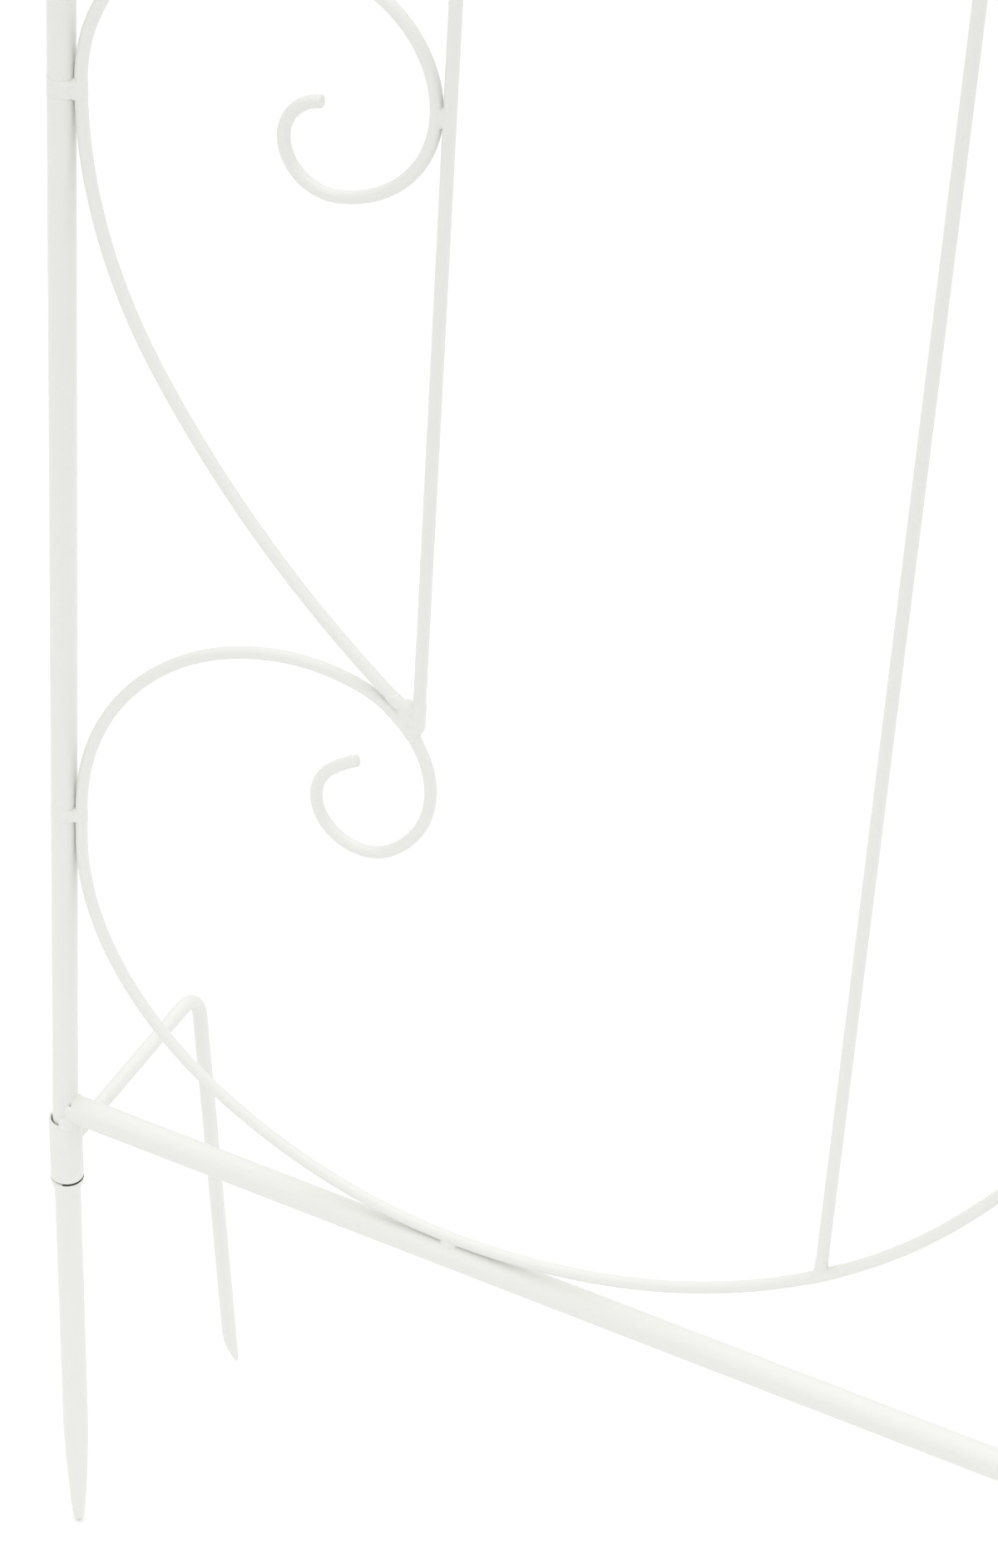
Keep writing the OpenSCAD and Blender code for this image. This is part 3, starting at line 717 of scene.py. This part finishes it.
# builders draw the joined pieces, box is (centre, half sizes, turn), beads are (centre, radii,
# turn, yaw). A proud weld is laid on so thick that it hides the seams between its pieces.
def fusedWeld(name, builders, box, beads, proud=0):
    bm = bmesh.new()
    for build in builders:
        bmPart = shaped(build)
        boxOff(bmPart, *box)
        part = bpy.data.meshes.new("part")
        bmPart.to_mesh(part)
        bmPart.free()
        bm.from_mesh(part)
        bpy.data.meshes.remove(part)
    for bead in beads:
        beadOf(bm, *bead)
    bmesh.ops.recalc_face_normals(bm, faces=bm.faces[:])
    rough = bpy.data.meshes.new(name)
    bm.to_mesh(rough)
    bm.free()
    worked = bpy.data.objects.new(name, rough)
    bpy.context.collection.objects.link(worked)
    fuse = worked.modifiers.new("fuse", "REMESH")
    fuse.mode = "VOXEL"
    fuse.voxel_size = weld["grain"]
    smooth = worked.modifiers.new("smooth", "SMOOTH")
    smooth.factor = 0.5
    smooth.iterations = weld["smoothing"]
    if proud:
        swell = worked.modifiers.new("swell", "DISPLACE")
        swell.strength = proud
        swell.mid_level = 0
    thin = worked.modifiers.new("thin", "DECIMATE")
    thin.ratio = weld["keep"]
    graph = bpy.context.evaluated_depsgraph_get()
    mesh = bpy.data.meshes.new_from_object(worked.evaluated_get(graph))
    bpy.data.objects.remove(worked)
    print("  weld", name, len(mesh.polygons), "faces")
    return mesh


# The tubes as welds need them: solid, so that the fused weld has no hollow, or with fewer sides
def solidPost(bm, x=0):
    bmesh.ops.create_cone(bm, cap_ends=True, segments=48, radius1=postRadius, radius2=postRadius,
                          depth=2000, matrix=Matrix.Translation((x, 0, 800)))


def farPost(bm):
    solidPost(bm, depth)


def weldedBar(bm):
    straightBar(bm, 48)


def farRod(bm):
    uprightRod(bm)
    bmesh.ops.transform(bm, matrix=upperHalf, verts=bm.verts[:])


# A bead between a post and the wire beside it, and its smear over the walkway side of the post
def sideBeads(x, z, length, toWire=1):
    return [(Vector((x + toWire, -1.2, z)), (3.0, 2.9, length), 0),
            (Vector((x - toWire * 1.8, -4.3, z)), (4.6, 1.9, 0.82 * length), 0, toWire * 30)]


contactX = postRadius + halfGap
scrollBead = scrollZ + 3.7  # where along its flat the scroll is tacked
heartBead = heartZ - 4.6
jointX = curl["rodInset"] - pitch / 2  # between the rod and the half heart
tailRun = Vector((curl["rodInset"] - tailX, 0, rodFoot - tailZ))
tailTilt = math.degrees(math.atan2(-tailRun.z, tailRun.x))
halfWelds = [
    fusedWeld("scrollToPost", [solidPost, scrollWire],
              (Vector((8, 0, scrollBead)), (16, 10, 3.6), 0),
              sideBeads(contactX, scrollBead, 4.4), weld["thick"]),
    fusedWeld("heartToPost", [solidPost, heartWire],
              (Vector((8, 0, heartBead)), (16, 10, 4.6), 0),
              sideBeads(contactX, heartBead, 5.6), weld["thick"]),
    fusedWeld("sweepToPost", [farPost, scrollWire],
              (Vector((depth - 8, 0, farWeldZ)), (16, 10, 3.6), 0),
              sideBeads(depth - contactX, farWeldZ, 4.4, -1), weld["thick"]),
    fusedWeld("scrollToBar", [weldedBar, scrollWire],
              (Vector((barWeldX, 0, 6)), (4.4, 10, 16), 0),
              [(Vector((barWeldX, -0.6, barRadius + 0.1)), (5.2, 3.2, 2.6), 0)]),
    fusedWeld("heartToRod", [heartWire, uprightRod],
              (Vector((jointX, 0, heartRodZ)), (8, 6, 4.8), 0),
              [(Vector((jointX, -0.2, heartRodZ)), (2.2, 2.3, 5.6), 0)]),
    fusedWeld("curlJoint", [scrollWire, heartWire, uprightRod],
              (Vector((tailX + 4, 0, rodFoot + 3)), (11, 6, 11), 0),
              [(Vector((tailX, 0, tailZ)) + tailRun / 2, (8.6, 3.1, 3.8), tailTilt),
               (Vector((tailX + 4, 0, tailZ - 1.2)), (4.6, 3.1, 5.6), 0),
               (Vector((curl["rodInset"] - 2.3, 0, rodFoot - 2)), (4.2, 3.0, 4.2), 0),
               (Vector((tailX + 2.6, 0, tailZ - 6.4)), (4.6, 3.0, 4.2), 0)], 0.3),
    fusedWeld("rodToSweep", [scrollWire, farRod],
              (Vector((farRodX, 0, farRodZ + 2)), (11, 6, 9), 0),
              [(Vector((farRodX, 0, farRodZ + wireRadius)), (4.8, 3.0, 2.6),
                -math.degrees(farRodSlope))], 0.25),
]
print("panel welds fused")


def joinMeshes(name, placedMeshes):
    bm = bmesh.new()
    for mesh, place in placedMeshes:
        vertsBefore, facesBefore = len(bm.verts), len(bm.faces)
        bm.from_mesh(mesh)
        bm.verts.ensure_lookup_table()
        bm.faces.ensure_lookup_table()
        bmesh.ops.transform(bm, matrix=place, verts=bm.verts[vertsBefore:])
        if place.determinant() < 0:  # a mirrored weld is turned right side out again
            bmesh.ops.reverse_faces(bm, faces=bm.faces[facesBefore:])
    joined = bpy.data.meshes.new(name)
    bm.to_mesh(joined)
    bm.free()
    joined.shade_smooth()
    return joined


cornerWeld = fusedWeld(
    "corner", [solidPost, weldedBar],
    (Vector((4, 0, 0)), (12, 10, 9.4), 0),
    [(Vector((4.6, -6.0, sleeveTop + 1.6)), (4.6, 3.0, 4.4), 0, 30),
     (Vector((4.6, 6.0, sleeveTop + 1.6)), (4.6, 3.0, 4.4), 0, -30),
     (Vector((5.2, -5.6, 0)), (2.2, 1.8, 5.5), 0),
     (Vector((5.2, 5.6, 0)), (2.2, 1.8, 5.5), 0)])
topWeld = fusedWeld(
    "topCorner", [solidPost, weldedBar],
    (Vector((4, 0, 0)), (12, 10, 9.4), 0),
    [(Vector((5.2, -5.6, 0)), (2.6, 2.0, 5.5), 0), (Vector((5.2, 5.6, 0)), (2.6, 2.0, 5.5), 0)])


def solidSleeve(bm):
    bmesh.ops.create_cone(bm, cap_ends=True, segments=48, radius1=sleeveRadius,
                          radius2=sleeveRadius, depth=sleeve["length"],
                          matrix=leaned @ Matrix.Translation((0, 0, sleeveMiddle)))


outriggerWeld = fusedWeld(
    "outriggerFoot", [solidSleeve, outriggerRod],
    (Vector((0, 10.5, sleeveMiddle)), (8, 6.5, 8), 0),
    [(Vector((0, sleeveRadius + 0.2, sleeveMiddle)), (4.5, 1.7, 4.5), 0)])

for side in sides:
    base = sides[side] @ rightPanel
    placed = [(mesh, base @ half) for mesh in halfWelds for half in (here, upperHalf)]
    for end in (here, farEnd):
        placed += [(cornerWeld, base @ end), (topWeld, base @ end @ topBar),
                   (outriggerWeld, base @ end)]
    name = f"{side}_panel_welds"
    fitPiece(joinMeshes(name, placed), name + "_piece", [name])
print("panel welds placed")

# Roof welds

crossRadius = roof["crossbarDiameter"] / 2


def roundAt(bm, radius, length, heading, centre=(0, 0, 0)):
    bmesh.ops.create_cone(bm, cap_ends=True, segments=32, radius1=radius, radius2=radius,
                          depth=length, matrix=squareTo(Vector(centre), heading))


# At the crossbar's end, X away from the roof's centre, Y towards the tube and Z along it
crossbarWeld = fusedWeld(
    "crossbarEnd",
    [lambda bm: roundAt(bm, postRadius, 40, up, (-crossbarOff, postRadius, 0)),
     lambda bm: roundAt(bm, crossRadius, 40, out, (0, -18, 0))],
    (Vector((0, 1, 0)), (8, 6, 8), 0),
    [(Vector((0, 0.2, 0)), (4.9, 1.8, 4.9), 0)])
crossingWeld = fusedWeld(
    "rodOnCrossbar",
    [lambda bm: roundAt(bm, wireRadius, 40, up, (pitch / 2, 0, 0)),
     lambda bm: roundAt(bm, crossRadius, 40, out, (-crossRadius - halfGap, 0, 0))],
    (Vector((0, 0, 0)), (7, 5, 5), 0),
    [(Vector((0, 0, 0)), (1.6, 3.4, 3.4), 0)])
topBarWeld = fusedWeld(
    "rodOnTopBar",
    [lambda bm: roundAt(bm, wireRadius, 40, up, (pitch / 2, 0, 0)),
     lambda bm: roundAt(bm, barRadius, 40, out, (-barRadius - halfGap, 0, 0))],
    (Vector((0, 0, 0)), (8, 5, 6), 0),
    [(Vector((0, 0, 0)), (1.6, 3.4, 4.6), 0)])

for side, turn in sides.items():
    base = turn @ Matrix.Scale(mm, 4)
    placed = []
    for number in range(roof["crossbars"]):
        for sign in (-1, 1):
            mirror = Matrix.Scale(sign, 4, (0, 1, 0))
            tubeSide = Matrix.Translation((0, sign * (depth / 2 - postRadius), 0)) @ mirror
            placed.append((crossbarWeld, base @ atCrossbar(number, crossbarOff) @ tubeSide))
            rodSide = Matrix.Translation((0, sign * rodY, 0))
            placed.append((crossingWeld,
                           base @ atCrossbar(number, rodOff - wireRadius - halfGap) @ rodSide))
    for sign in (-1, 1):
        place = Matrix.Translation((arch["width"] / 2 + barRadius + halfGap, sign * rodY,
                                    arch["groundHeight"] + height))
        placed.append((topBarWeld, base @ place))
    name = f"{side}_roof_welds"
    fitPiece(joinMeshes(name, placed), name + "_piece", [name])
print("roof welds placed")

# Pan-head bolts and chamfered nuts, drawn with Z along the shank and the head at the top
fixing = {
    "diameter": 4,
    "headRadius": 4,
    "headHeight": 2.4,
    "socketRadius": 1.5,
    "socketDepth": 1.2,
    "nutAcross": 8,  # corner to corner
    "nutHeight": 3.2,
    "step": 22,  # from the joint to each bolt
}


def panBolt(bm):
    head, tall, shank = fixing["headRadius"], fixing["headHeight"], fixing["diameter"] / 2
    low = -postRadius - fixing["nutHeight"] - 0.2
    arc = [math.radians(a) for a in range(0, 76, 15)]
    dome = [(head * math.cos(a), postRadius + tall * (0.35 + 0.65 * math.sin(a))) for a in arc]
    outline = [(0, low), (shank - 0.4, low), (shank, low + 0.4), (shank, postRadius),
               (head - 0.2, postRadius), (head, postRadius + 0.2)] + dome
    flat = postRadius + 0.98 * tall
    socket, deep = fixing["socketRadius"], fixing["socketDepth"]
    latheTurned(bm, outline + [(socket + 0.25, flat), (socket, flat - 0.2), (socket, flat - deep),
                               (0, flat - deep)], segments=32)


def hexNut(bm):
    high, across = fixing["nutHeight"], fixing["nutAcross"] / 2
    made = bmesh.ops.create_cone(bm, cap_ends=True, segments=6, radius1=across, radius2=across,
                                 depth=high,
                                 matrix=Matrix.Translation((0, 0, -postRadius - high / 2)))
    rims = [e for e in {e for v in made["verts"] for e in v.link_edges}
            if abs(e.verts[0].co.z - e.verts[1].co.z) < 0.001]
    bmesh.ops.bevel(bm, geom=rims, offset=0.35, affect="EDGES", segments=2, profile=0.5,
                    material=-1)


# Where the bolts go: two through each post joint and each crown joint, Z out along the shank
def boltPlaces():
    postJoint = arch["groundHeight"] + height + arch["postRise"]
    crown = springZ + roofRadius
    outwards = Matrix.Rotation(math.radians(90), 4, "Y")
    places = []
    for turn in sides.values():
        for step in (-fixing["step"], fixing["step"]):
            for sign in (-1, 1):
                places.append(turn @ Matrix.Translation((arch["width"] / 2, sign * depth / 2,
                                                         postJoint + step)) @ outwards)
            places.append(turn @ Matrix.Translation((-step, depth / 2, crown)))
    return places


for name, build in (("joint_bolts", panBolt), ("joint_nuts", hexNut)):
    shape = meshOf(shaped(build), name)
    placed = [(shape, Matrix.Scale(mm, 4) @ place) for place in boltPlaces()]
    mesh = joinMeshes(name, placed)
    mesh.set_sharp_from_angle(angle=sharpAngle)
    fitPiece(mesh, name + "_piece", [name], "arch", zinc)
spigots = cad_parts["joint_spigots"]
spigots.data.materials.clear()
spigots.data.materials.append(zinc)
print("fixings finished")
